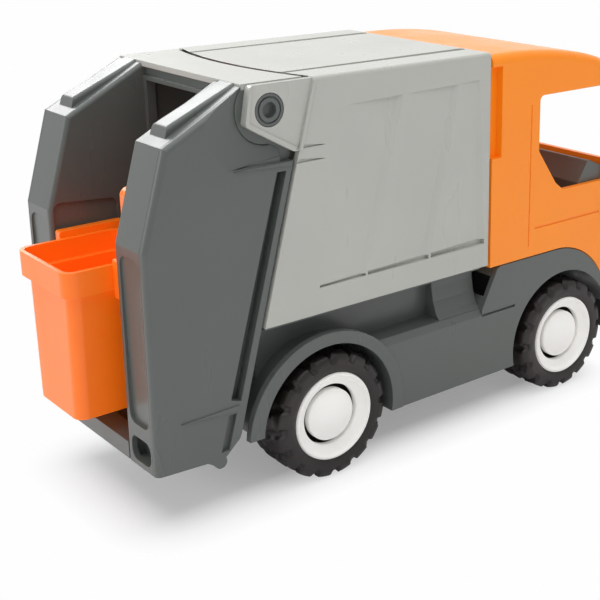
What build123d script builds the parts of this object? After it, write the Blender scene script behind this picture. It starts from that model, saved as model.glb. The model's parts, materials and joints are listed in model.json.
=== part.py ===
from build123d import *
import os
from math import cos, radians, sin, sqrt

# Toy refuse truck with a hinged tailgate and a bin on a tipping fork.
# Millimetres, +X towards the cab, +Y towards the vehicle's left side, +Z up.
# Side-view places (x, z) are measured from the ground under the rear axle.
# save() then moves every node so that the origin lies on the ground, under
# the middle of the truck's length.

# ---------------------------------------------------------------- driving dimensions
WHEELBASE = 134.5
FRONT_END = 172.5                   # foremost point of cab and bumper
REAR_END = -95.6                    # rearmost point, the bin's collar
MIDDLE_X = (FRONT_END + REAR_END) / 2

TYRE_R = 27.0
TYRE_IN, TYRE_OUT = 25.0, 48.7      # |y| of a tyre's two sides
RIM_R = 18.5
AXLE_R = 2.0
RUN = 0.05                          # running clearance, on the radius
WALL = 2.4                          # usual moulded wall

BODY_HALF = 48.7                    # container side face
SKIRT_HALF = 48.2                   # chassis, cab and tailgate side faces
ROOF_Z = 165.0                      # container roof
BOX_BASE_Z = 72.8                   # container's lower edge
BOX_FRONT_X = 83.7
BOX_REAR_TOP_X = -6.0
BOX_REAR_LEAN = 0.2745              # the rear edge leans back this much per mm of drop
SEAM_X = -12.6                      # rearmost point of the curved roof seam
SEAM_GAP = 2.0                      # width of the open seam between the roof and the hood
SEAM_R = 168.0                      # radius of that seam, seen from above
ROOF_WALL = 3.0                     # thickness of the roof

CLIP_Z = 70.6                       # top of the front fenders
HINGE = (-25.1, 155.1)              # tailgate hinge axis (x, z)
PIN_R = 4.6
PIN_HEAD_R = 6.0
GATE_IN = 26.6                      # |y| of the tailgate's inner walls
GATE_MID = 45.1                     # |y| where the hollow sides end
GATE_OUT = 48.0
SIDE_PLATE_IN = 45.2                # |y| where the outer side plates begin
HOOD_BASE_Z = 162.8
HOOD_REAR_X = -34.9
RAIL_LOW = (-68.0, 146.9)           # lower end of the sloping rails
RAIL_SLOPE = 0.5233

LIFT = (-56.0, 99.0)                # fork pivot axis (x, z)
BIN_X = -74.05                      # middle of the bin's collar
BIN_HALF_Y = 21.1
BIN_TOP_Z = 101.4
COLLAR_Z = 91.7
BIN_BASE_Z = 42.8


# ---------------------------------------------------------------- helpers
def block(x, y, z):
    """Box between three (low, high) pairs."""
    size = [high - low for low, high in (x, y, z)]
    middle = [(high + low) / 2 for low, high in (x, y, z)]
    return Pos(*middle) * Box(*size)


def side_slab(outline, y_low, y_high, corner=0):
    """Side-view outline (x, z) made solid from y_low to y_high."""
    face = Polygon(*outline, align=None)
    if corner:
        face = fillet(face.vertices(), corner)
    slab = extrude(Plane.XZ * face, y_high - y_low, dir=(0, 1, 0))
    return Pos(0, y_low, 0) * slab


def cross_slab(outline, x_low, x_high):
    """Cross-section (y, z) made solid from x_low to x_high."""
    face = Plane.YZ * Polygon(*outline, align=None)
    return Pos(x_low, 0, 0) * extrude(face, x_high - x_low, dir=(1, 0, 0))


def across(place, radius, y_low, y_high):
    """Round bar along Y about a side-view place (x, z)."""
    x, z = place
    bar = Cylinder(radius, y_high - y_low)
    return Pos(x, (y_low + y_high) / 2, z) * Rot(90, 0, 0) * bar


def upright(x, y, radius, z_low, z_high):
    """Round bar along Z."""
    return Pos(x, y, (z_low + z_high) / 2) * Cylinder(radius, z_high - z_low)


def left(shape):
    """The same piece on the vehicle's other side."""
    return mirror(shape, about=Plane.XZ)


def both(shape):
    return shape + left(shape)


def box_rear_x(z):
    """The container's leaning rear edge."""
    return BOX_REAR_TOP_X - BOX_REAR_LEAN * (ROOF_Z - z)


def gate_front_x(z):
    """The tailgate's front edge, a gap behind the container."""
    return box_rear_x(z) - 1.3


def save(name, shape):
    export_step(Pos(-MIDDLE_X, 0, 0) * shape, f"parts/{name}.step")


# ---------------------------------------------------------------- wheels
def turned(outline):
    """Profile (radius, distance from the centre plane) spun about Z."""
    return revolve(Plane.XZ * Polygon(*outline, align=None), axis=Axis.Z)


def rim():
    barrel = turned([(16.4, 26.5), (18.5, 26.5), (18.5, 48.1), (17.9, 48.7), (16.9, 48.7), (16.4, 48.0)])
    web = turned([(10.0, 41.0), (16.6, 41.8), (16.6, 47.6), (15.4, 46.0), (13.0, 44.4), (10.0, 44.4)])
    hub = turned([(AXLE_R, 34.0), (10.3, 34.0), (10.3, 46.0), (6.1, 46.0), (6.1, 44.0), (AXLE_R, 44.0)])
    slot_ring = turned([(10.3, 40.0), (13.0, 40.0), (13.0, 45.0), (10.3, 45.0)])
    back = turned([(10.0, 41.0), (14.0, 41.0), (14.0, 42.4), (10.0, 42.4)])
    spokes = Rot(0, 0, 17) * Box(40, 2.2, 100) + Rot(0, 0, 107) * Box(40, 2.2, 100)
    return barrel + (web - slot_ring) + (back & spokes) + hub


def cap():
    plug = turned([(0, 44.1), (6.0, 44.1), (6.0, 46.0), (0, 46.0)])
    rise, foot_r = 4.4, 10.3
    ball_r = (foot_r ** 2 + rise ** 2) / (2 * rise)
    ball = Pos(0, 0, 46.0 + rise - ball_r) * Sphere(ball_r)
    dome = ball & (Pos(0, 0, 56.0) * Box(60, 60, 20))
    return plug + dome


def tyre():
    side_z, tread_z = TYRE_OUT - 0.6, TYRE_OUT - 3.4
    return turned([
        (RIM_R, TYRE_IN), (24.8, TYRE_IN), (TYRE_R, TYRE_IN + 2.6), (TYRE_R, tread_z),
        (25.2, TYRE_OUT - 0.8), (23.0, TYRE_OUT), (20.5, side_z), (RIM_R, side_z)])


def wheel_set(prefix, x):
    """Steel axle with a rim, a tyre and a hub cap on each end."""
    nodes = {f"{prefix}_axle": across((x, TYRE_R), AXLE_R, -43.9, 43.9)}
    for name, make in (("rim", rim), ("tyre", tyre), ("cap", cap)):
        right_side = Pos(x, 0, TYRE_R) * Rot(90, 0, 0) * make()
        nodes[f"{prefix}_{name}_right"] = right_side
        nodes[f"{prefix}_{name}_left"] = left(right_side)
    return nodes


# ---------------------------------------------------------------- chassis
ARCH = (-1.8, 26.5)                 # rear wheel arch centre
ARCH_R = 31.8
BAND = (-2.2, 25.5)                 # raised band round the rear arch
BAND_R = 38.0
FRONT_ARCH = (133.0, 27.0)
FRONT_ARCH_R = 32.0
FENDER = (127.5, 34.6)              # round front end of the fender
FENDER_R = 36.0
SKIRT_LOW_Z = 20.5
HOUSE_IN, HOUSE_WEB = 14.0, 16.4    # |y| of the wall that carries an axle
SPINE_TOP_Z = 47.0
KEEPER_X = 6.5                      # keeper screws stand this far from the axle
DECK_Z = 72.5
RECESS = 36.0                       # |y| of the wall between skirt and container
SCREW_SPOTS = [(-14.0, 28.0), (-14.0, -28.0), (68.0, 28.0), (68.0, -28.0)]
CAB_SPOTS = [(94.0, 30.0), (94.0, -30.0)]


def rear_arch():
    """Wheel housing with its raised outer band, right side."""
    keep = block((-60, 0), (-60, 0), (28.5, 80)) + block((0, 60), (-60, 0), (SKIRT_LOW_Z, 80))
    house = across(ARCH, ARCH_R + WALL, -SKIRT_HALF, -HOUSE_IN)
    band = across(BAND, BAND_R, -BODY_HALF, -BODY_HALF + 3)
    space = across(ARCH, ARCH_R, -60, -HOUSE_WEB)
    return ((house + band) & keep) - space


def fender_nose(radius, half_width, z_low):
    """Front end of the fenders, round above the centre and upright below it."""
    nose = across(FENDER, radius, -half_width, half_width)
    nose += block((FENDER[0], FENDER[0] + radius), (-half_width, half_width), (z_low, FENDER[1]))
    return nose & block((FENDER[0], 200), (-60, 60), (z_low, 80))


def front_block():
    """Front fenders and the platform under the cab, hollow from below."""
    outline = [(81.2, SKIRT_LOW_Z), (81.2, 52.4), (90.2, 69.6), (92.0, CLIP_Z), (FENDER[0], CLIP_Z),
               (FENDER[0], SKIRT_LOW_Z)]
    solid = side_slab(outline, -SKIRT_HALF, SKIRT_HALF)
    solid += fender_nose(FENDER_R, SKIRT_HALF, SKIRT_LOW_Z)
    solid -= both(across(FRONT_ARCH, FRONT_ARCH_R, -60, -HOUSE_WEB))
    solid -= block((84.0, FENDER[0]), (-13.8, 13.8), (0, CLIP_Z - 5))
    solid -= fender_nose(FENDER_R - 5, 13.8, 0)
    solid -= both(block((84.0, 99.0), (-45.8, -HOUSE_WEB), (0, 66.0)))
    return solid


def skirts():
    """Side skirts with a deep recess above them, and a ramp in front of the fender."""
    outer = block((20, 101), (-SKIRT_HALF, -SKIRT_HALF + WALL), (SKIRT_LOW_Z, 50.0))
    foot = block((20, 101), (-SKIRT_HALF, -40), (SKIRT_LOW_Z, SKIRT_LOW_Z + 2))
    shoulder = [(-48.2, 47.5), (-48.2, 50.0), (-46.0, 52.6), (-RECESS, 52.6), (-RECESS, 50.2),
                (-45.8, 50.2)]
    ledge = cross_slab(shoulder, 20, 85)
    wall = block((-28.5, 85), (-RECESS, -RECESS + WALL), (50.2, DECK_Z - 1))
    scoop = [(-47.0, 51.4), (-43.6, 54.6), (-41.4, 60.0), (-40.4, 66.0), (-40.2, DECK_Z - 1)]
    ramp = cross_slab(scoop + [(-RECESS, DECK_Z - 1), (-RECESS, 51.4)], 58.5, 82)
    right_side = outer + foot + ledge + wall + ramp
    right_side -= block((60.5, 79.8), (-38.0, -RECESS), (53.5, DECK_Z))
    right_side -= across(ARCH, ARCH_R, -60, 0)
    right_side -= across(FRONT_ARCH, FRONT_ARCH_R, -60, 0)
    return both(right_side)


def chassis():
    body = both(rear_arch()) + skirts() + front_block()
    deck = block((-28.5, 83.5), (-44, 44), (DECK_Z - 2.5, DECK_Z))
    spine = block((-34, 100), (-HOUSE_WEB, HOUSE_WEB), (SPINE_TOP_Z - WALL, SPINE_TOP_Z))
    spine += both(block((-34, 100), (-HOUSE_WEB, -HOUSE_IN), (22.0, SPINE_TOP_Z)))
    ribs = block((-28.5, -26.1), (-RECESS, RECESS), (SPINE_TOP_Z - 1, DECK_Z))
    for x in (26.0, 81.0):
        ribs += block((x, x + WALL), (-RECESS, RECESS), (SPINE_TOP_Z - 1, DECK_Z))
    body = body + deck + spine + ribs
    for axle_x in (0, WHEELBASE):
        for x in (axle_x - KEEPER_X, axle_x + KEEPER_X):
            top = SPINE_TOP_Z if axle_x == 0 else CLIP_Z - 4.4
            body += upright(x, 0, 2.6, 20.4, top)
            body -= upright(x, 0, 1.1, 0, 32.0)
        body -= across((axle_x, TYRE_R), AXLE_R + RUN, -60, 60)
        body -= block((axle_x - AXLE_R - RUN, axle_x + AXLE_R + RUN), (-18, 18), (0, TYRE_R))
    for x, y in SCREW_SPOTS:
        body -= upright(x, y, 1.6, 60, 80)
    for x, y in CAB_SPOTS:
        body -= upright(x, y, 1.6, 60, 80)
    return body - both(block((81.4, 101.5), (-50, -SKIRT_HALF + 0.9), (49.4, 50.5)))


def axle_keeper(x):
    """Plate under an axle; its two saddles close the axle slots."""
    plate = block((x - 10, x + 10), (-19, 19), (18.2, 20.4))
    saddle = block((x - 2.0, x + 2.0), (-HOUSE_WEB + 0.1, -HOUSE_IN - 0.1), (20.4, TYRE_R))
    keeper = plate + both(saddle)
    keeper -= across((x, TYRE_R), AXLE_R + RUN, -60, 60)
    for screw_x in (x - KEEPER_X, x + KEEPER_X):
        keeper -= upright(screw_x, 0, 1.3, 0, 30)
    return keeper


def screw(x, y, head_z, shank, up):
    """Pan-head screw; its head lies below head_z when it points up."""
    head = upright(x, y, 2.6, head_z - 1.6, head_z)
    slot = block((x - 3, x + 3), (y - 0.4, y + 0.4), (head_z - 2, head_z - 0.9))
    return head - slot + upright(x, y, shank, head_z, head_z + up)


def screws(spots, head_z, shank, up):
    return Compound([screw(x, y, head_z, shank, up) for x, y in spots])


# ---------------------------------------------------------------- cab
CAB_REAR_X = 85.6
CAB_BASE_Z = FENDER[1] + FENDER_R + 0.5
CAB_TOP_Z = 163.6


def cab_profile(inset):
    """Side view of the cab, with a crowned roof and a round cut for the fender."""
    arch_r = FENDER_R + 0.5 + inset
    sill_z = 46.0
    reach = sqrt(arch_r ** 2 - (sill_z - FENDER[1]) ** 2)
    arch_mid = (FENDER[0] + arch_r * sin(radians(35)), FENDER[1] + arch_r * cos(radians(35)))
    rear, front, top = CAB_REAR_X + inset, FRONT_END - 0.1 - inset, CAB_TOP_Z - inset
    base = FENDER[1] + arch_r
    roof = Spline((rear, top), (108.0, top - 0.2), (134.0, top - 2.9), (156.0, top - 8.4),
                  (164.0 - inset, top - 12.0))
    edges = [
        Line((rear, base), (rear, top)),
        roof,
        Line(roof @ 1, (169.6 - inset, 104.0)),
        Line((169.6 - inset, 104.0), (front, 97.0)),
        Line((front, 97.0), (front, sill_z)),
        Line((front, sill_z), (FENDER[0] + reach, sill_z)),
        ThreePointArc((FENDER[0] + reach, sill_z), arch_mid, (FENDER[0], base)),
        Line((FENDER[0], base), (rear, base)),
    ]
    return make_face(Curve() + edges)


def cab_window(y_low, y_high):
    outline = [(114.3, 143.4), (156.5, 143.4), (161.0, 98.7), (130.6, 98.7), (125.6, 102.6), (114.3, 118.8)]
    return side_slab(outline, y_low, y_high, corner=2.5)


def cab_shell():
    outer = extrude(Plane.XZ * cab_profile(0), 2 * SKIRT_HALF, dir=(0, 1, 0))
    outer = Pos(0, -SKIRT_HALF, 0) * outer
    rims = [e for e in outer.edges() if abs(abs(e.center().Y) - SKIRT_HALF) < 0.01
            and (e.center().Z > 148 or e.center().X > 165)
            and e.center().Z > 47]
    outer = fillet(rims, 4.0)
    inner_half = SKIRT_HALF - WALL
    inner = extrude(Plane.XZ * cab_profile(WALL), 2 * inner_half, dir=(0, 1, 0))
    shell = outer - Pos(0, -inner_half, 0) * inner
    shell -= block((CAB_REAR_X + WALL, 150.0), (-inner_half, inner_half), (CAB_BASE_Z - 3, CAB_BASE_Z + 4))
    shell -= cab_window(-60, 60)
    windscreen = block((150, 200), (-40.5, 40.5), (106.0, 147.0))
    windscreen = fillet(windscreen.edges().filter_by(Axis.X), 4.0)
    shell -= windscreen
    shell += both(block((CAB_REAR_X, 93.6), (-SKIRT_HALF + 2.0, -SKIRT_HALF + 6.0), (117.0, 160.0)))
    shell -= both(block((80, 91.2), (-60, -SKIRT_HALF + 3.6), (119.6, 158.6)))
    shell -= both(block((113.0, 156.0), (-60, -SKIRT_HALF + 0.5), (83.4, 84.3)))
    shell -= both(block((108.8, 109.5), (-60, -SKIRT_HALF + 0.4), (76.0, 140.0)))
    shell -= block((FRONT_END - 1.6, 180), (-27, 27), (52.0, 66.0))
    for x, y in CAB_SPOTS:
        shell += upright(x, y, 3.4, CLIP_Z + 0.1, 77.5)
        web_y = (y, inner_half + 1) if y > 0 else (-inner_half - 1, y)
        shell += block((x - 0.8, x + 0.8), web_y, (CLIP_Z + 0.1, 77.5))
        shell -= upright(x, y, 1.2, 60, 76.2)
    return shell


def front_bumper():
    front = block((163.7, FRONT_END), (-SKIRT_HALF, SKIRT_HALF), (SKIRT_LOW_Z, 45.6))
    corners = [e for e in front.edges().filter_by(Axis.Z) if e.center().X > 170]
    front = fillet(corners, 6.0)
    front -= block((160, 169.5), (-SKIRT_HALF + WALL, SKIRT_HALF - WALL), (10, 42.6))
    front -= both(block((170.4, 180), (-42, -27), (30.0, 39.0)))
    return front - block((FRONT_END - 1.0, 180), (-20, 20), (28.0, 36.0))


def headlight():
    lens = block((170.5, FRONT_END - 0.2), (-41.9, -27.1), (30.1, 38.9))
    return fillet(lens.edges().filter_by(Axis.X), 2.0)


def front_grille():
    plate = block((FRONT_END - 1.6, FRONT_END - 0.3), (-26.9, 26.9), (52.1, 65.9))
    for z in (55.0, 58.6, 62.2):
        plate -= block((FRONT_END - 1.0, 180), (-24, 24), (z - 0.9, z + 0.9))
    return plate


def dashboard():
    outline = [(150.0, 109.0), (143.5, 99.0), (142.0, CLIP_Z + 6), (150.0, CLIP_Z + 6), (163.0, 84.0),
               (165.5, 97.0), (158.0, 105.5)]
    panel = side_slab(outline, -45.4, 45.4, corner=1.5)
    return panel - STEERING * Cylinder(1.5, 40)


STEERING = Pos(136.5, 22.0, 99.5) * Rot(0, 118, 0)


def steering_wheel():
    ring = Torus(9.0, 1.3)
    spokes = Box(17, 2.4, 1.6) + Box(2.4, 17, 1.6)
    column = Pos(0, 0, 5.5) * Cylinder(1.5, 13)
    return STEERING * (ring + spokes + Cylinder(2.8, 3) + column)


def cab_seat():
    cushion = block((89.0, 116.0), (-42, 42), (78.0, 86.0))
    foot = block((100.0, 114.0), (-36, 36), (CLIP_Z, 79.0))
    back = side_slab([(88.6, 78.0), (94.5, 78.0), (92.6, 114.0), (88.6, 114.0)], -42, 42)
    parting = block((86, 120), (-1, 1), (84.5, 120)) - block((86, 90.5), (-2, 2), (84, 121))
    return cushion + foot + back - parting


# ---------------------------------------------------------------- container
RECESS_BAYS = (                     # lower rear, lower front, upper front, upper rear, depth, slot height
    ((-6.7, 83.3), (16.8, 83.3), (36.8, 153.3), (9.1, 152.7), 1.0, 1.0),
    ((16.8, 83.3), (49.9, 83.3), (66.0, 153.9), (36.8, 153.3), 1.2, 1.6),
    ((49.9, 83.3), (81.3, 83.3), (77.7, 154.4), (66.0, 153.9), 1.4, 2.2),
)
RIB_WIDTH = 3.0                     # run of the short slope at a bay's front
EAR = [(-33.3, 164.6), (-35.9, 150.6), (-32.6, 148.4), (-15.6, 138.6), (-6.0, 138.6), (0.0, 164.6)]
EAR_IN, EAR_OUT = 45.2, 48.0


def ear():
    """Hinge bracket behind the container's side, right side."""
    plate = side_slab(EAR, -EAR_OUT, -EAR_IN, corner=1.6)
    edge_strip = side_slab(EAR, -EAR_OUT - 0.6, -EAR_OUT, corner=1.6)
    edge_strip -= side_slab([(-31.6, 170.0), (-34.0, 151.4), (-31.4, 149.8), (-13.0, 139.4), (30, 139.4),
                             (30, 170)], -60, 0)
    plate += edge_strip
    plate -= across(HINGE, PIN_R + RUN, -60, 0)
    return plate - across(HINGE, PIN_HEAD_R + 0.25, -60, -46.4)


def rear_bead():
    """Raised bead between the ear and the container's side, right side."""
    return side_slab([(-6.3, ROOF_Z - 1.2), (-4.8, ROOF_Z - 1.2), (-12.0, 138.6), (-13.4, 138.6)],
                     -BODY_HALF - 0.5, -BODY_HALF + 0.6)


def outside_of(low, high, dip):
    """Space outside the plane through two side-face places and a third, deeper one."""
    a, b, c = [Vector(x, -BODY_HALF + deep, z) for (x, z), deep in (low, high, dip)]
    normal = (b - a).cross(c - a).normalized()
    if normal.Y > 0:
        normal = -normal
    plane = Plane(origin=a, x_dir=b - a, z_dir=normal)
    return plane * (Pos(0, 0, 20) * Box(400, 400, 40))


def recess_bay(low_a, low_b, high_b, high_a, depth, slot):
    """One panel of the side: it dips towards the front, then rises to the next rib."""
    outline = [low_a, low_b, high_b, high_a]
    dip = outside_of((low_a, 0), (high_a, 0), (low_b, depth * 1.1))
    rise = outside_of((low_b, 0), (high_b, 0), ((low_b[0] - RIB_WIDTH, low_b[1]), depth))
    panel = side_slab(outline, -BODY_HALF - 5, -BODY_HALF + 5) & dip & rise
    groove = [(low_a[0] + 1, low_a[1]), low_b, (low_b[0], low_b[1] + slot), (low_a[0] + 1, low_a[1] + slot)]
    return panel + side_slab(groove, -BODY_HALF - 5, -BODY_HALF + depth + 0.5)


def roof_groove(y):
    """Long groove in the roof, widening to a round front end."""
    plan = Polygon((-9.0, y - 1.2), (81.0, y - 1.9), (81.0, y + 1.9), (-9.0, y + 1.2), align=None)
    low = ROOF_Z - 2.3
    return Pos(0, 0, low) * extrude(plan, 5, dir=(0, 0, 1)) + upright(81.0, y, 1.9, low, ROOF_Z + 3)


def seam_cone():
    """Inside of the roof seam; the roof's rear edge is cut back towards its underside."""
    cone = Cone(SEAM_R - 0.25 - ROOF_WALL, SEAM_R - 0.25, ROOF_WALL)
    return Pos(SEAM_X + SEAM_R, 0, ROOF_Z - ROOF_WALL / 2) * cone


def container_shell():
    outline = [(box_rear_x(ROOF_Z), ROOF_Z), (box_rear_x(BOX_BASE_Z), BOX_BASE_Z),
               (BOX_FRONT_X, BOX_BASE_Z), (BOX_FRONT_X, ROOF_Z)]
    outer = side_slab(outline, -BODY_HALF, BODY_HALF)
    outer = fillet(outer.edges().filter_by(Axis.X).group_by(Axis.Z)[-1], 1.6)
    inner_half = BODY_HALF - 2.6
    shell = outer - block((-80, BOX_FRONT_X - WALL), (-inner_half, inner_half), (50, ROOF_Z - ROOF_WALL))
    tongue_y = (-SIDE_PLATE_IN - 0.1, SIDE_PLATE_IN + 0.1)
    rear_zone = block((-30, 4), tongue_y, (ROOF_Z - ROOF_WALL, ROOF_Z))
    shell -= block((-30, 4), tongue_y, (ROOF_Z - ROOF_WALL - 0.1, ROOF_Z + 0.1))
    shell += rear_zone & seam_cone()
    shell += both(ear())
    for bay in RECESS_BAYS:
        shell -= both(recess_bay(*bay))
    for z in (139.8, 134.5):
        notch = side_slab([(-13.2, z + 0.9), (-14.6, z - 0.7), (-1.0, z - 0.5)], -60, -BODY_HALF + 0.8)
        shell -= both(notch)
    shell += both(rear_bead())
    shell -= both(roof_groove(-33.2))
    for x, y in SCREW_SPOTS:
        wall_y = (y, inner_half + 0.5) if y > 0 else (-inner_half - 0.5, y)
        shell += upright(x, y, 3.4, 75.0, 88.0) + block((x - 0.8, x + 0.8), wall_y, (75.0, 88.0))
        shell -= upright(x, y, 1.2, 60, 85.5)
    return shell


def container_floor():
    half = BODY_HALF - 2.7
    floor = block((-28.3, BOX_FRONT_X - WALL - 0.1), (-half, half), (DECK_Z, 75.0))
    for x, y in SCREW_SPOTS:
        floor -= upright(x, y, 1.6, 60, 80)
    return floor


# ---------------------------------------------------------------- tailgate
REAR_KINK = (-78.7, 111.5)
REAR_FOOT = (-79.6, 27.0)
GATE_BASE = [(-58.6, 25.9), (-55.4, 24.0), (-50.4, 24.6)]
GATE_TOE = (-52.9, 24.6)            # small round foot at the front of the base
GATE_PEGS = [(-64.0, 40.0), (-62.0, 120.0), (-54.0, 60.0)]
CHANNELS = (                        # slots along the front edge of a side plate
    [(-22.9, 131.8), (-18.8, 131.8), (-42.9, 46.8), (-47.2, 48.2)],
    [(-48.6, 42.4), (-45.0, 42.4), (-49.0, 28.4), (-52.4, 28.4)],
)
CHANNEL_DEPTHS = (12.0, 1.8)        # the upper slot goes through the plate
SWEEP_R = 12.9                      # the ear turns inside this radius
DISH_R = 27.0                       # outer rim of the shallow cone round the ear


def rail_z(x):
    return RAIL_LOW[1] + RAIL_SLOPE * (x - RAIL_LOW[0])


def gate_outline():
    top = (HOOD_REAR_X - 0.1, rail_z(HOOD_REAR_X - 0.1))
    under_hood = (HOOD_REAR_X - 0.1, HOOD_BASE_Z)
    front_top = (gate_front_x(HOOD_BASE_Z), HOOD_BASE_Z)
    front_foot = (gate_front_x(30.0), 30.0)
    return [REAR_FOOT, REAR_KINK, RAIL_LOW, top, under_hood, front_top, front_foot] + GATE_BASE[::-1]


def gate_corner_cut():
    """Takes the upper front corner off, so that it can swing inside the container."""
    corner = block((HINGE[0], 10), (-60, 60), (151.5, 175))
    return corner - across(HINGE, 15.2, -60, 60)


def gate_side():
    """Hollow side of the tailgate, open on its outer face, right side."""
    outline = gate_outline()
    solid = side_slab(outline, -GATE_MID, -GATE_IN)
    rear_edges = [e for e in solid.edges() if abs(e.center().Y + GATE_IN) < 0.01
                  and e.center().X < -45 and e.center().Z > 27]
    solid = fillet(rear_edges, 1.8)
    core = Polygon(*outline, align=None)
    core = offset(core, amount=-WALL, kind=Kind.INTERSECTION)
    hollow = extrude(Plane.XZ * core, GATE_MID - GATE_IN - WALL + 1, dir=(0, 1, 0))
    solid -= Pos(0, -GATE_MID - 1, 0) * hollow
    web = side_slab([(-40, 132.0), (-10, 132.0), (0, 166), (-40, 166)], -GATE_MID, -GATE_MID + 2.2)
    solid += web & side_slab(outline, -GATE_MID, -GATE_IN)
    solid += across(HINGE, PIN_R + 2.4, -GATE_MID, -GATE_IN)
    solid += across(LIFT, 5.0, -GATE_IN - 7, -GATE_IN)
    solid += across(GATE_TOE, 2.6, -GATE_MID, -GATE_IN)
    solid -= across(HINGE, PIN_R, -60, -GATE_MID + 7)
    solid -= across(LIFT, AXLE_R, -GATE_IN - 5, 0)
    for x, z in GATE_PEGS:
        solid += across((x, z), 3.2, -GATE_MID, -GATE_IN)
        solid -= across((x, z), 1.2, -60, -GATE_MID + 9)
    for (xa, za), (xb, zb), (xc, zc), (xd, zd) in CHANNELS:
        bed = [(xa - 1.5, za + 1.5), (xb + 2.2, zb + 1.5), (xc + 2.2, zc - 1.5), (xd - 1.5, zd - 1.5)]
        solid += side_slab(bed, -43.0, -40.6)
    return solid


def rail():
    """Raised wedge along the sloping top, right side."""
    wedge = side_slab([(-64.6, rail_z(-64.6) - 1.6), (-62.6, rail_z(-62.6) + 3.2),
                       (HOOD_REAR_X - 0.1, ROOF_Z), (HOOD_REAR_X - 0.1, rail_z(HOOD_REAR_X) - 2)],
                      -41.4, -31.0)
    crest = [e for e in wedge.edges() if e.center().Z > rail_z(e.center().X) + 1.2 and e.center().X < -36]
    return fillet(crest, 1.5)


def tailgate_shell():
    side = gate_side()
    side += rail()
    panel = block((-90, REAR_FOOT[0] + 1.6), (-44.2, -30.0), (44.0, 108.0))
    side -= fillet(panel.edges().filter_by(Axis.X), 4.0)
    side += block((REAR_FOOT[0] + 5.5, REAR_FOOT[0] + 8.0), (-44.9, -28.0), (27.5, 40.5))
    lamp_slot = block((-90, REAR_FOOT[0] + 5.5), (-44.2, -30.0), (29.2, 38.8))
    side -= fillet(lamp_slot.edges().filter_by(Axis.X), 3.5)
    side -= side_slab([(-76.8, 88.0), (-76.8, 114.0), (-50.0, 112.0), (-50.0, 88.0)],
                      -GATE_IN - 1.2, 0, corner=3)
    shell = both(side)
    shell += block((REAR_FOOT[0] + 0.1, -71.0), (-27, 27), (27.0, 34.0))
    shell += block((-72.0, -47.2), (-27, 27), (27.0, 29.4))
    front_wall = side_slab([(gate_front_x(27.0) - WALL, 27.0), (gate_front_x(77.0) - WALL, 77.0),
                            (gate_front_x(77.0), 77.0), (gate_front_x(27.0), 27.0)], -27, 27)
    shell += front_wall
    shell += block((-33.4, -30.6), (-27, 27), (157.5, HOOD_BASE_Z))
    shell += block((-34.6, -30.6), (-27, 27), (157.5, 159.3))
    shell += both(block((-34.6, -30.6), (-27.0, -24.8), (127.0, 159.3)))
    return shell - gate_corner_cut()


def ear_room():
    """What the container's ear sweeps through, cut from a side plate."""
    room = across(HINGE, SWEEP_R, -60, 0)
    room += side_slab([(-34.4, 172), (-37.0, 150.4), (-33.1, 147.2), (-16.0, 137.4), (10, 137.4), (10, 172)],
                      -60, 0)
    return room + side_slab([(-20.4, 135.3), (-20.4, 150), (10, 150), (10, 135.3)], -60, 0)


def ear_dish():
    """Shallow cone round the hinge that takes the side plate down to the ear's edge."""
    thickness = GATE_OUT - SIDE_PLATE_IN
    cone = Cone(DISH_R, SWEEP_R, thickness)
    dish = Pos(HINGE[0], -(GATE_OUT + SIDE_PLATE_IN) / 2, HINGE[1]) * Rot(-90, 0, 0) * cone
    above_rib = side_slab([(-60, 134.2), (-41.5, 135.4), (-20.0, 137.3), (10, 137.3), (10, 190), (-60, 190)],
                          -60, 0)
    return dish & above_rib


def tailgate_side():
    """Outer plate of the tailgate, right side."""
    plate = side_slab(gate_outline(), -GATE_OUT, -SIDE_PLATE_IN)
    outer_edges = [e for e in plate.edges() if abs(e.center().Y + GATE_OUT) < 0.01
                   and e.center().X < -45 and e.center().Z > 27]
    plate = fillet(outer_edges, 2.2)
    plate += across(GATE_TOE, 2.6, -GATE_OUT, -SIDE_PLATE_IN)
    plate -= ear_dish()
    upper_rib = [(-41.5, 134.8), (-16.4, 135.2), (-16.8, 133.5)]
    lower_rib = [(-68.5, 45.1), (-44.0, 45.5), (-44.6, 43.4)]
    for rib in (upper_rib, lower_rib):
        plate += side_slab(rib, -GATE_OUT - 0.55, -GATE_OUT + 0.5)
    plate -= side_slab([(-41.5, 135.4), (-20.0, 137.3), (-20.0, 135.3)], -60, -GATE_OUT + 1.4)
    for channel, depth in zip(CHANNELS, CHANNEL_DEPTHS):
        plate -= side_slab(channel, -60, -GATE_OUT + depth)
    plate -= ear_room()
    for place in GATE_PEGS:
        plate += across(place, 1.2, -SIDE_PLATE_IN - 0.5, -GATE_MID + 7)
    return plate


def tailgate_hood():
    """Pale top of the tailgate, with the curved front edge that meets the roof."""
    plate = block((HOOD_REAR_X, 5), (-44.9, 44.9), (HOOD_BASE_Z, ROOF_Z))
    return plate - Pos(SEAM_X + SEAM_R, 0, ROOF_Z) * Cylinder(SEAM_R + SEAM_GAP, 20)


def hopper_tray():
    """Chute between the bin's front lip and the container."""
    foot_x = gate_front_x(79.2) - 0.5
    chute = side_slab([(-48.4, 93.6), (-47.0, 95.2), (foot_x, 79.2), (foot_x - 0.6, 77.0),
                       (foot_x - 3.5, 77.0)], -26.5, 26.5)
    cheek = side_slab([(-47.0, 94.6), (-44.6, 96.4), (gate_front_x(86.0) - 0.5, 86.0), (foot_x, 79.0)],
                      -26.5, -24.9)
    return chute + both(cheek)


def hinge_pin():
    """Pin with a dished head, pressed into the tailgate; the ear turns on it."""
    pin = across(HINGE, PIN_R, -47.4, -GATE_MID + 7)
    pin += across(HINGE, PIN_HEAD_R, -47.9, -46.5)
    pin -= across(HINGE, PIN_HEAD_R - 1.0, -60, -47.3)
    pin += across(HINGE, PIN_R - 0.2, -48.0, -47.0)
    return pin - across(HINGE, 2.9, -60, -45.6)


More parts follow.
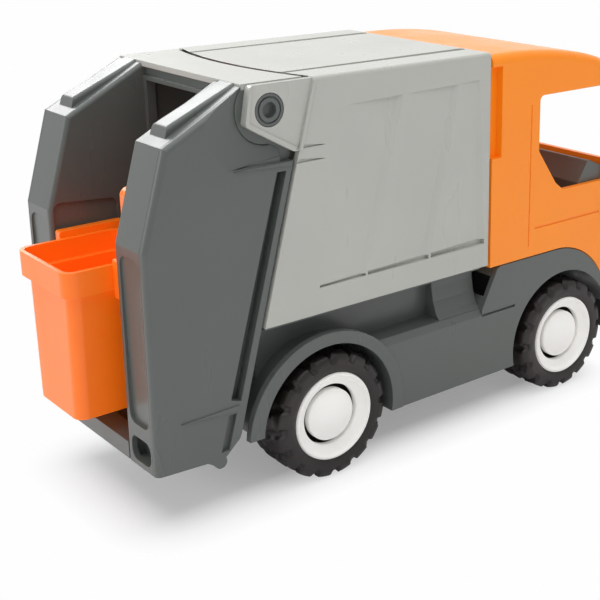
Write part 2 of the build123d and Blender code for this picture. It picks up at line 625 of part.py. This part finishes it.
def lift_pin():
    return across(LIFT, AXLE_R, -GATE_IN - 5, -22.4)


# ---------------------------------------------------------------- fork and bin
FORK_IN, FORK_OUT = 21.8, 25.4
FORK_TOP_Z = 103.9
LEVER_TOP = (-69.6, 126.4)


def lift_fork():
    """Two arms under the bin's collar, a bar between them and one finger lever."""
    arm = side_slab([(-77.5, 88.6), (-77.5, FORK_TOP_Z), (-50.0, FORK_TOP_Z), (-50.0, 88.6)],
                    -FORK_OUT, -FORK_IN, corner=1.0)
    tine = block((-76.0, -51.8), (-FORK_IN - 1, -19.7), (88.6, 91.4))
    arms = both(arm + tine)
    bar = block((-51.9, -49.4), (-FORK_IN - 1, FORK_IN + 1), (89.6, 97.6))
    stem = side_slab([(LIFT[0] - 3.0, LIFT[1]), (LEVER_TOP[0] - 3.0, LEVER_TOP[1] - 7),
                      (LEVER_TOP[0] - 3.0, LEVER_TOP[1]), (LEVER_TOP[0] + 3.0, LEVER_TOP[1]),
                      (LIFT[0] + 3.0, LIFT[1] + 2)], -FORK_OUT, -FORK_IN)
    head = across(LEVER_TOP, 3.0, -FORK_OUT, -FORK_IN)
    fork = arms + bar + stem + head
    return fork - across(LIFT, AXLE_R + RUN, -60, 60)


def tub(x, length, width, radius, z):
    return Pos(x, 0, z) * RectangleRounded(length, width, radius)


def bin_body():
    """Open tub with a vertical collar on a shoulder."""
    low_x, top_x = BIN_X - 0.2, BIN_X
    outer = loft([tub(low_x, 38.8, 34.6, 4.4, BIN_BASE_Z), tub(top_x, 38.4, 37.0, 4.4, COLLAR_Z)])
    inner = loft([tub(low_x, 35.6, 31.4, 2.9, BIN_BASE_Z + 2), tub(top_x, 35.0, 33.6, 2.9, COLLAR_Z + 1.8)])
    collar = extrude(tub(BIN_X, 2 * (BIN_X - REAR_END), 2 * BIN_HALF_Y, 5.0, COLLAR_Z), BIN_TOP_Z - COLLAR_Z)
    mouth = extrude(tub(BIN_X, 39.7, 38.8, 3.6, COLLAR_Z + 1.8), 20)
    return outer + collar - inner - mouth


# ---------------------------------------------------------------- the whole truck
def build_all():
    keeper_spots = [(x, 0) for x in (-KEEPER_X, KEEPER_X, WHEELBASE - KEEPER_X, WHEELBASE + KEEPER_X)]
    side_plate, pin, pivot, lamp = tailgate_side(), hinge_pin(), lift_pin(), headlight()
    nodes = {
        "chassis": chassis(),
        "rear_axle_keeper": axle_keeper(0),
        "front_axle_keeper": axle_keeper(WHEELBASE),
        "keeper_screws": screws(keeper_spots, 18.2, 1.1, 12.0),
        "container_shell": container_shell(),
        "container_floor": container_floor(),
        "container_screws": screws(SCREW_SPOTS, DECK_Z - 2.5, 1.2, 14.0),
        "cab_shell": cab_shell(),
        "cab_screws": screws(CAB_SPOTS, 66.0, 1.2, 10.0),
        "front_bumper": front_bumper(),
        "front_grille": front_grille(),
        "headlight_right": lamp,
        "headlight_left": left(lamp),
        "dashboard": dashboard(),
        "steering_wheel": steering_wheel(),
        "cab_seat": cab_seat(),
        "tailgate_shell": tailgate_shell(),
        "tailgate_side_right": side_plate,
        "tailgate_side_left": left(side_plate),
        "tailgate_hood": tailgate_hood(),
        "hopper_tray": hopper_tray(),
        "hinge_pin_right": pin,
        "hinge_pin_left": left(pin),
        "lift_pin_right": pivot,
        "lift_pin_left": left(pivot),
        "lift_fork": lift_fork(),
        "refuse_bin": bin_body(),
    }
    nodes.update(wheel_set("rear", 0))
    nodes.update(wheel_set("front", WHEELBASE))
    return nodes


os.makedirs("parts", exist_ok=True)
for node_name, node_shape in build_all().items():
    save(node_name, node_shape)
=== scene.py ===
import bmesh
import bpy
import json
from math import cos, pi, radians, sin, sqrt
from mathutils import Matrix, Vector


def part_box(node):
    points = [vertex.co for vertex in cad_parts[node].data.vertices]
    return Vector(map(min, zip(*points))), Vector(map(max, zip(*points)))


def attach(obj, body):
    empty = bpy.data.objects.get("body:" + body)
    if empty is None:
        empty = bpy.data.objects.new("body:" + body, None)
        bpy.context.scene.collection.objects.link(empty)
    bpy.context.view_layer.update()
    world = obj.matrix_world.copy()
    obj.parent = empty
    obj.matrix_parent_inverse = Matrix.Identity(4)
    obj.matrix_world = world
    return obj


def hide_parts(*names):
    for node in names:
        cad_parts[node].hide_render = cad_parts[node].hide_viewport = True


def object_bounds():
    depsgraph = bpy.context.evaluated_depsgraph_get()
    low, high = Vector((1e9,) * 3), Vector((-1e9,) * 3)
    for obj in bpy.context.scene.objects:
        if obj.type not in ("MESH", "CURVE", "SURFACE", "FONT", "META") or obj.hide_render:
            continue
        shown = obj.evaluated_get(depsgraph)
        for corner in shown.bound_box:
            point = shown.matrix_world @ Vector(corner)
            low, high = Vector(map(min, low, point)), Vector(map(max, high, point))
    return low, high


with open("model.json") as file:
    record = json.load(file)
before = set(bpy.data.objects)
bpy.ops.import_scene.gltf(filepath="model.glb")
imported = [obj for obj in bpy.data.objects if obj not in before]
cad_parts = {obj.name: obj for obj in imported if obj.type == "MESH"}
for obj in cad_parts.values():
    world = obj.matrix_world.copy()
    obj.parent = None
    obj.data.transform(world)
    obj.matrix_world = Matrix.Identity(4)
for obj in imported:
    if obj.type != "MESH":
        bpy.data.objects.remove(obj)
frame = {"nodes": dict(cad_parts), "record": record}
cad_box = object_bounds()

# Looks for the toy refuse truck: moulded plastics with softened edges, lugged tyres, dished rims with
# a low dome, and a pale studio. Lengths are metres; those in millimetres are multiplied by MM.
MM = 0.001


# ---------------------------------------------------------------- node helpers
def nodes_of(material):
    material.use_nodes = True
    tree = material.node_tree
    tree.nodes.clear()
    return tree.nodes, tree.links


def object_coords(nodes):
    return nodes.new("ShaderNodeTexCoord").outputs["Object"]


def noise(nodes, links, coords, scale, detail=3.0, stretch=(1, 1, 1)):
    mapping = nodes.new("ShaderNodeMapping")
    mapping.inputs["Scale"].default_value = stretch
    links.new(coords, mapping.inputs["Vector"])
    texture = nodes.new("ShaderNodeTexNoise")
    texture.inputs["Scale"].default_value = scale
    texture.inputs["Detail"].default_value = detail
    links.new(mapping.outputs["Vector"], texture.inputs["Vector"])
    return texture.outputs["Fac"]


def ramp(nodes, links, value, low, high, out_low, out_high):
    node = nodes.new("ShaderNodeMapRange")
    for name, number in (("From Min", low), ("From Max", high), ("To Min", out_low), ("To Max", out_high)):
        node.inputs[name].default_value = number
    links.new(value, node.inputs["Value"])
    return node.outputs["Result"]


def multiply(nodes, links, first, second):
    node = nodes.new("ShaderNodeMath")
    node.operation = "MULTIPLY"
    links.new(first, node.inputs[0])
    links.new(second, node.inputs[1])
    return node.outputs[0]


def vector_math(nodes, links, operation, first, second=None, result="Vector"):
    """One vector step; second is a socket, a plain vector or nothing."""
    node = nodes.new("ShaderNodeVectorMath")
    node.operation = operation
    links.new(first, node.inputs[0])
    if isinstance(second, bpy.types.NodeSocket):
        links.new(second, node.inputs[1])
    elif second:
        node.inputs[1].default_value = second
    return node.outputs[result]


def mix(nodes, links, factor, first, second):
    """Colour mix; first and second are a socket or a plain colour."""
    node = nodes.new("ShaderNodeMix")
    node.data_type = "RGBA"
    factor_socket = [s for s in node.inputs if s.name == "Factor" and s.type == "VALUE"][0]
    links.new(factor, factor_socket)
    for name, value in (("A", first), ("B", second)):
        socket = [s for s in node.inputs if s.name == name and s.type == "RGBA"][0]
        if isinstance(value, bpy.types.NodeSocket):
            links.new(value, socket)
        else:
            socket.default_value = (*value, 1.0)
    return [s for s in node.outputs if s.type == "RGBA"][0]


def mix_shaders(nodes, links, factor, first, second):
    node = nodes.new("ShaderNodeMixShader")
    for socket, value in zip(node.inputs, (factor, first, second)):
        links.new(value, socket)
    return node.outputs[0]


def finish_material(nodes, links, surface):
    output = nodes.new("ShaderNodeOutputMaterial")
    links.new(surface, output.inputs["Surface"])


# ---------------------------------------------------------------- materials
EDGE_STARTS, EDGE_FULL = 0.97, 0.82     # cosine between the rounded and the true normal
EDGE_WEAR = 0.35                        # most that a rubbed edge pales
PLASTIC_IOR = 1.49
GLOW_REACH = 2.5                        # mm that red light spreads inside orange plastic
GLOW_COLOUR = (1.0, 0.25, 0.08)
WHEEL_SHADE_FROM_Y = 43.4                   # painted shade darkens a wheel's inside behind this |y|, mm
# colour of that painted shade
PAINTED_WHEEL_SHADE = (0.012, 0.012, 0.011)
WHEEL_SHADE_FADE = 0.6                         # mm over which the painted shade fades in


def soft_normal(nodes, radius):
    """Surface normal rounded over nearby edges."""
    bevel = nodes.new("ShaderNodeBevel")
    bevel.samples = 4
    bevel.inputs["Radius"].default_value = radius * MM
    return bevel.outputs["Normal"]


def near_edge(nodes, links, rounded):
    """0 on open surfaces, 1 where the rounded normal leaves the true one."""
    true_normal = nodes.new("ShaderNodeNewGeometry").outputs["Normal"]
    agreement = vector_math(nodes, links, "DOT_PRODUCT", rounded, true_normal, "Value")
    return ramp(nodes, links, agreement, EDGE_STARTS, EDGE_FULL, 0.0, 1.0)


def moulded_colour(nodes, links, coords, rounded, base, patchy):
    """Cloudy colour with paler, broken wear along the edges."""
    cloudy = ramp(nodes, links, noise(nodes, links, coords, 22.0, 2.0), 0.3, 0.7, 0.0, 1.0)
    darker = [c * (1 - patchy) for c in base]
    lighter = [min(c * (1 + patchy), 1.0) for c in base]
    shade = mix(nodes, links, cloudy, darker, lighter)
    broken = ramp(nodes, links, noise(nodes, links, coords, 240.0, 5.0), 0.45, 0.62, 0.0, EDGE_WEAR)
    wear = multiply(nodes, links, near_edge(nodes, links, rounded), broken)
    return mix(nodes, links, wear, shade, [min(c * 1.25 + 0.03, 1.0) for c in base])


def paint_shade_behind(nodes, links, coords, colour, across):
    """Painted shade on the inside of the wheels, closer to the truck's middle than this |y|."""
    parts = nodes.new("ShaderNodeSeparateXYZ")
    links.new(coords, parts.inputs[0])
    distance = nodes.new("ShaderNodeMath")
    distance.operation = "ABSOLUTE"
    links.new(parts.outputs["Y"], distance.inputs[0])
    factor = ramp(nodes, links, distance.outputs[0], (across - WHEEL_SHADE_FADE) * MM, across * MM, 0.0, 1.0)
    return mix(nodes, links, factor, PAINTED_WHEEL_SHADE, colour)


def grainy_normal(nodes, links, coords, rounded, grain):
    bump = nodes.new("ShaderNodeBump")
    bump.inputs["Strength"].default_value = grain
    bump.inputs["Distance"].default_value = 0.05 * MM
    links.new(noise(nodes, links, coords, 2600.0, 2.0), bump.inputs["Height"])
    links.new(rounded, bump.inputs["Normal"])
    return bump.outputs["Normal"]


def plastic(name, base, rough=0.3, patchy=0.025, glow=0.0, painted_glow=0.0, behind=None, grain=0.10,
            soft_edge=0.4):
    """Moulded plastic: flow marks, patches, fine grain, rubbed edges.

    glow is light spread inside; the emission strength paints light, a glow in the plastic's own colour that
    brightens its shaded sides; and behind paints shade on a wheel's inside.
    """
    material = bpy.data.materials.new(name)
    nodes, links = nodes_of(material)
    coords = object_coords(nodes)
    rounded = soft_normal(nodes, soft_edge)
    colour = moulded_colour(nodes, links, coords, rounded, base, patchy)
    # painted shade: a wheel's inside is coloured dark so that its hollows read as shadow
    if behind:
        colour = paint_shade_behind(nodes, links, coords, colour, behind)
    flow = noise(nodes, links, coords, 60.0, 3.0, (1.0, 1.0, 0.25))
    shader = nodes.new("ShaderNodeBsdfPrincipled")
    links.new(colour, shader.inputs["Base Color"])
    links.new(ramp(nodes, links, flow, 0.3, 0.7, rough * 0.85, rough * 1.2), shader.inputs["Roughness"])
    shader.inputs["IOR"].default_value = PLASTIC_IOR
    if glow:
        shader.inputs["Subsurface Weight"].default_value = glow
        shader.inputs["Subsurface Radius"].default_value = GLOW_COLOUR
        shader.inputs["Subsurface Scale"].default_value = GLOW_REACH * MM
    # painted light: emission in the plastic's own colour brightens its shaded sides, as if lit from within
    if painted_glow:
        links.new(colour, shader.inputs["Emission Color"])
        shader.inputs["Emission Strength"].default_value = painted_glow
    links.new(grainy_normal(nodes, links, coords, rounded, grain), shader.inputs["Normal"])
    finish_material(nodes, links, shader.outputs["BSDF"])
    return material


def steel(name):
    """Drawn steel with streaks along the wire."""
    material = bpy.data.materials.new(name)
    nodes, links = nodes_of(material)
    drawn = noise(nodes, links, object_coords(nodes), 900.0, 3.0, (1.0, 0.05, 1.0))
    shader = nodes.new("ShaderNodeBsdfPrincipled")
    shader.inputs["Metallic"].default_value = 1.0
    links.new(mix(nodes, links, drawn, (0.42, 0.42, 0.43), (0.66, 0.66, 0.68)), shader.inputs["Base Color"])
    links.new(ramp(nodes, links, drawn, 0.2, 0.8, 0.28, 0.45), shader.inputs["Roughness"])
    finish_material(nodes, links, shader.outputs["BSDF"])
    return material


OFF_WHITE = (0.95, 0.94, 0.91)
MATERIALS = {
    "dark_grey_plastic": plastic("dark_grey_plastic", (0.112, 0.124, 0.115)),
    "light_grey_plastic": plastic("light_grey_plastic", (0.50, 0.505, 0.465)),
    # The emission strengths below are painted light that lifts the shaded orange and white sides.
    "orange_plastic": plastic("orange_plastic", (1.0, 0.27, 0.006), glow=0.10, painted_glow=0.11),
    "bin_orange_plastic": plastic("bin_orange_plastic", (1.0, 0.19, 0.006), 0.32, glow=0.4, painted_glow=0.15),
    "white_plastic": plastic("white_plastic", OFF_WHITE, 0.32, painted_glow=0.07),
    # the wheels' white gets painted shade on its inside
    "wheel_white_shaded_inside": plastic("wheel_white_shaded_inside", OFF_WHITE, 0.32, painted_glow=0.07, behind=WHEEL_SHADE_FROM_Y),
    "tyre_rubber": plastic("tyre_rubber", (0.019, 0.015, 0.013), 0.40, patchy=0.40, grain=0.5,
                           soft_edge=0.25),
    "screw_steel": steel("screw_steel"),
}
SLOT_OF = {row["node"]: row["material_slot"] for row in frame["record"]["subparts"]}
BODY_OF = {node: body for body, members in frame["record"]["behaviour"]["bodies"].items()
           for node in members}


def paint(piece, material_name):
    piece.data.materials.clear()
    piece.data.materials.append(MATERIALS[material_name])


def stand_for(piece, node, material_name=None):
    """A new piece takes a CAD node's place, finish and body."""
    paint(piece, material_name or SLOT_OF[node])
    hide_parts(node)
    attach(piece, BODY_OF[node])


# ---------------------------------------------------------------- turned pieces
def new_object(name, mesh_data):
    mesh = bpy.data.meshes.new(name)
    mesh_data.to_mesh(mesh)
    mesh_data.free()
    piece = bpy.data.objects.new(name, mesh)
    bpy.context.scene.collection.objects.link(piece)
    return piece


def turned(name, profile, count, centre, outward, shape=None):
    """Closed profile (radius, |y|) in mm, swept round a wheel's axis; shape() may move each point."""
    mesh = bmesh.new()
    rings = []
    for i in range(count):
        angle = 2 * pi * i / count
        ring = []
        for radius, across in profile:
            r, a = shape(i / count, radius, across) if shape else (radius, across)
            ring.append(mesh.verts.new((centre.x + r * MM * cos(angle), outward * a * MM,
                                        centre.z + r * MM * sin(angle))))
        rings.append(ring)
    for i in range(count):
        here, there = rings[i], rings[(i + 1) % count]
        for k in range(len(profile)):
            n = (k + 1) % len(profile)
            mesh.faces.new((here[k], here[n], there[n], there[k]))
    bmesh.ops.recalc_face_normals(mesh, faces=mesh.faces)
    piece = new_object(name, mesh)
    for face in piece.data.polygons:
        face.use_smooth = True
    return piece


def round_edges(piece, width, angle):
    bevel = piece.modifiers.new("soft", "BEVEL")
    bevel.width = width * MM
    bevel.segments = 2
    bevel.limit_method = "ANGLE"
    bevel.angle_limit = radians(angle)


def sharp_corners(piece, angle):
    """Keeps smooth shading only over gentle bends."""
    mesh = bmesh.new()
    mesh.from_mesh(piece.data)
    for edge in mesh.edges:
        if len(edge.link_faces) == 2 and edge.calc_face_angle() > radians(angle):
            edge.smooth = False
    mesh.to_mesh(piece.data)
    mesh.free()


# ---------------------------------------------------------------- wheels (sizes in mm)
LUGS = 16
LUG_STEPS = 10                      # mesh steps per lug around the tyre
WHEEL_STEPS = 96                    # mesh steps around a rim or a dome
TYRE_R = 27.0
TYRE_MIDDLE = 36.8                  # |y| of the tyre's middle plane
INNER_WALL = [(18.45, 25.2), (20.5, 25.1), (22.4, 25.0), (23.0, 25.0), (24.2, 25.2), (25.4, 25.8),
              (26.3, 26.7)]
CROWN = [(0.4, 0.0), (1.2, 0.0), (2.6, 0.05), (4.8, 0.1), (7.0, 0.2), (8.9, 0.3)]   # off the middle, drop
OUTER_WALL = [(26.3, 46.9), (25.5, 47.7), (24.4, 48.2), (23.0, 48.45), (22.4, 48.3), (21.4, 48.35),
              (20.2, 48.2), (19.3, 47.9), (18.45, 47.5)]
TREAD_FOOT_R = 22.8                 # the sidewall is plain inside this radius
LUG_SHARE = 0.7                     # part of the pitch that a lug fills
GAP_DEPTH = 1.7
GROOVE_FROM, GROOVE_TO = 35.5, 37.5   # |y| of the groove along the tread's middle
GROOVE_DEPTH = 1.3
HUB_R = 4.0
HUB_FIT = 0.05
AXLE_R = 2.0

RIM_PROFILE = [
    (16.9, 26.6), (18.45, 26.6), (18.45, 47.5),                                   # barrel
    (18.35, 48.2), (17.95, 48.62), (17.35, 48.66), (16.95, 48.35), (16.7, 47.8),  # rolled lip
    (16.2, 47.2), (15.2, 46.55), (14.2, 46.0), (13.5, 45.7), (13.1, 45.5),        # dish
    (12.95, 45.2), (12.95, 42.8), (14.2, 42.8), (15.0, 44.8), (16.9, 45.8),       # its inner edge and back
    (16.9, 30.5), (HUB_R, 30.5), (HUB_R, 41.5), (AXLE_R + HUB_FIT, 41.5),         # web and hub
    (AXLE_R + HUB_FIT, 28.5), (16.9, 28.5)]

DOME_FOOT_R, DOME_RISE = 11.0, 4.6
DOME_FOOT_Y = 45.7
DOME_SKIRT = 2.9                    # straight skirt below the dome's foot
DOME_WALL = 1.2
DOME_STEM_Y = 41.6
DOME_STEPS = 16
DOME_REACH = 0.985                  # share of the foot's radius that the ball covers


def tyre_profile():
    """Inner wall, crowned tread, outer wall."""
    inner = [(TYRE_R - drop, TYRE_MIDDLE - step) for step, drop in reversed(CROWN)]
    outer = [(TYRE_R - drop, TYRE_MIDDLE + step) for step, drop in CROWN]
    return INNER_WALL + inner + outer + OUTER_WALL


def tread(turn, radius, across):
    """Chunky lugs: the gaps reach down the shoulder, and the two halves are half a lug apart."""
    if radius < TREAD_FOOT_R:
        return radius, across
    off_middle = abs(across - TYRE_MIDDLE)
    outer_half = across > TYRE_MIDDLE
    step = (turn * LUGS + (0.5 if outer_half else 0.0) + off_middle * 0.03) % 1.0
    if GROOVE_FROM < across < GROOVE_TO:
        return radius - GROOVE_DEPTH, across
    if step <= LUG_SHARE:
        notch = 0.5 if 4.0 < off_middle < 6.2 else 0.0
        return radius - notch, across
    depth = GAP_DEPTH * min(1.0, max(0.0, (radius - 23.4) / 1.2))
    inwards = 0.55 if off_middle > 10.5 else 0.0
    return radius - depth, across + (-inwards if outer_half else inwards)


def dome_profile():
    """Hub cap: a low dome on a short skirt, hollow behind, with a stem on the axis."""
    ball_r = (DOME_FOOT_R ** 2 + DOME_RISE ** 2) / (2 * DOME_RISE)
    crown = DOME_FOOT_Y + DOME_RISE
    points = [(HUB_FIT, crown)]
    for i in range(1, DOME_STEPS + 1):
        radius = DOME_FOOT_R * DOME_REACH * i / DOME_STEPS
        points.append((radius, crown - ball_r + sqrt(ball_r ** 2 - radius ** 2)))
    skirt_y = DOME_FOOT_Y - DOME_SKIRT
    points += [(DOME_FOOT_R - 0.02, DOME_FOOT_Y - 0.1), (DOME_FOOT_R, DOME_FOOT_Y - 0.4)]
    points += [(DOME_FOOT_R, skirt_y), (DOME_FOOT_R - DOME_WALL, skirt_y), (HUB_R, crown - 3.2)]
    return points + [(HUB_R, DOME_STEM_Y), (HUB_FIT, DOME_STEM_Y)]


def wheel(prefix, side, outward):
    rim_low, rim_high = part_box(f"{prefix}_rim_{side}")
    centre = (rim_low + rim_high) / 2
    end = f"{prefix}_{side}"
    tyre = turned(f"lugged_tyre_{end}", tyre_profile(), LUGS * LUG_STEPS, centre, outward, tread)
    stand_for(tyre, f"{prefix}_tyre_{side}")
    round_edges(tyre, 0.25, 30)
    rim = turned(f"dished_rim_{end}", RIM_PROFILE, WHEEL_STEPS, centre, outward)
    stand_for(rim, f"{prefix}_rim_{side}", "wheel_white_shaded_inside")
    cap = turned(f"domed_cap_{end}", dome_profile(), WHEEL_STEPS, centre, outward)
    stand_for(cap, f"{prefix}_cap_{side}", "wheel_white_shaded_inside")
    for piece in (rim, cap):
        sharp_corners(piece, 38)


for axle in ("rear", "front"):
    wheel(axle, "right", -1)
    wheel(axle, "left", 1)


# ---------------------------------------------------------------- CAD nodes that stay
for node_name, node in frame["nodes"].items():
    paint(node, SLOT_OF[node_name])


# ---------------------------------------------------------------- studio
FLOOR_HALF = 3.0
FLOOR_LIFT_NEAR = 0.27              # how far the seen floor is lifted towards white under the truck
FLOOR_FADE = 0.030                  # metres over which the lift grows to full white
SHADE_INSET = (0.03, 0.02)          # the fade starts this far inside the truck's outline
NEAR_WHITE = 0.99
WORLD_FILL = 0.66                   # light from the near side
WORLD_BACK = 1.3                    # light from behind the truck
BEHIND_TRUCK = (0.60, 0.78, 0.15)

CAMERA_PLACE = (-0.29867, -0.40486, 0.23873)
CAMERA_TILT, CAMERA_TURN = radians(72.30), radians(-40.88)
SENSOR, LENS = 36.0, 72.06          # mm
SHIFT_X, SHIFT_Y = -0.2095, -0.0873


def floor_lift(nodes, links, coords):
    """Grows from under the truck outwards, so that only the contact shadow stays."""
    high = cad_box[1]
    shaded_half = (high[0] - SHADE_INSET[0], high[1] - SHADE_INSET[1], 0.0)
    past = vector_math(nodes, links, "SUBTRACT", vector_math(nodes, links, "ABSOLUTE", coords), shaded_half)
    outside = vector_math(nodes, links, "MAXIMUM", past, (0.0, 0.0, 0.0))
    distance = vector_math(nodes, links, "LENGTH", outside, result="Value")
    return ramp(nodes, links, distance, 0.0, FLOOR_FADE, FLOOR_LIFT_NEAR, 1.0)


def floor_material():
    """Matt near-white, lifted for the camera only, and clear from below."""
    material = bpy.data.materials.new("studio_floor")
    nodes, links = nodes_of(material)
    coords = object_coords(nodes)
    matt = nodes.new("ShaderNodeBsdfPrincipled")
    tint = mix(nodes, links, noise(nodes, links, coords, 3.0), (0.92, 0.92, 0.935), (0.93, 0.93, 0.945))
    links.new(tint, matt.inputs["Base Color"])
    matt.inputs["Roughness"].default_value = 0.9
    matt.inputs["Specular IOR Level"].default_value = 0.1
    white = nodes.new("ShaderNodeEmission")
    white.inputs["Strength"].default_value = NEAR_WHITE
    seen = nodes.new("ShaderNodeLightPath").outputs["Is Camera Ray"]
    lift = multiply(nodes, links, floor_lift(nodes, links, coords), seen)
    top = mix_shaders(nodes, links, lift, matt.outputs["BSDF"], white.outputs[0])
    from_below = nodes.new("ShaderNodeNewGeometry").outputs["Backfacing"]
    clear = nodes.new("ShaderNodeBsdfTransparent").outputs[0]
    finish_material(nodes, links, mix_shaders(nodes, links, from_below, top, clear))
    return material


def studio_floor():
    z = cad_box[0][2]
    mesh = bpy.data.meshes.new("floor")
    corners = [(x * FLOOR_HALF, y * FLOOR_HALF, z) for x, y in ((-1, -1), (1, -1), (1, 1), (-1, 1))]
    mesh.from_pydata(corners, [], [(0, 1, 2, 3)])
    mesh.materials.append(floor_material())
    floor = bpy.data.objects.new("floor", mesh)
    bpy.context.scene.collection.objects.link(floor)


def surround():
    """Pale surroundings: white where the camera looks, brightest behind the truck, dim on the near side."""
    world = bpy.data.worlds.new("studio")
    bpy.context.scene.world = world
    nodes, links = nodes_of(world)
    direction = nodes.new("ShaderNodeTexCoord").outputs["Generated"]
    facing = vector_math(nodes, links, "DOT_PRODUCT", direction, BEHIND_TRUCK, "Value")
    lit = nodes.new("ShaderNodeBackground")
    links.new(ramp(nodes, links, facing, 0.1, 0.95, WORLD_FILL, WORLD_BACK), lit.inputs["Strength"])
    seen = nodes.new("ShaderNodeBackground")
    seen.inputs["Color"].default_value = (1.0, 1.0, 1.0, 1.0)
    seen.inputs["Strength"].default_value = NEAR_WHITE
    camera_ray = nodes.new("ShaderNodeLightPath").outputs["Is Camera Ray"]
    surface = mix_shaders(nodes, links, camera_ray, lit.outputs[0], seen.outputs[0])
    links.new(surface, nodes.new("ShaderNodeOutputWorld").inputs["Surface"])


def lamp(name, place, target, size, power, only_gloss=False):
    light = bpy.data.lights.new(name, "AREA")
    light.shape = "RECTANGLE"
    light.size, light.size_y = size
    light.energy = power
    light_object = bpy.data.objects.new(name, light)
    light_object.location = place
    light_object.rotation_euler = (Vector(target) - Vector(place)).to_track_quat("-Z", "Y").to_euler()
    light_object.visible_diffuse = not only_gloss
    bpy.context.scene.collection.objects.link(light_object)


def camera():
    data = bpy.data.cameras.new("camera")
    data.sensor_width = SENSOR
    data.lens = LENS
    data.shift_x, data.shift_y = SHIFT_X, SHIFT_Y
    camera_object = bpy.data.objects.new("camera", data)
    camera_object.location = CAMERA_PLACE
    camera_object.rotation_euler = (CAMERA_TILT, 0.0, CAMERA_TURN)
    bpy.context.scene.collection.objects.link(camera_object)
    bpy.context.scene.camera = camera_object


studio_floor()
surround()
lamp("overhead", (-0.1, 0.0, 0.95), (0, 0, 0), (1.4, 1.2), 7.0)
lamp("rear_card", (-1.0, 0.55, 0.42), (-0.1, 0, 0.08), (0.7, 0.5), 2.0)
lamp("far_card", (0.0, 0.88, 0.66), (-0.05, 0, 0.15), (0.7, 0.45), 5.5, only_gloss=True)
camera()
bpy.context.scene.view_settings.view_transform = "Standard"
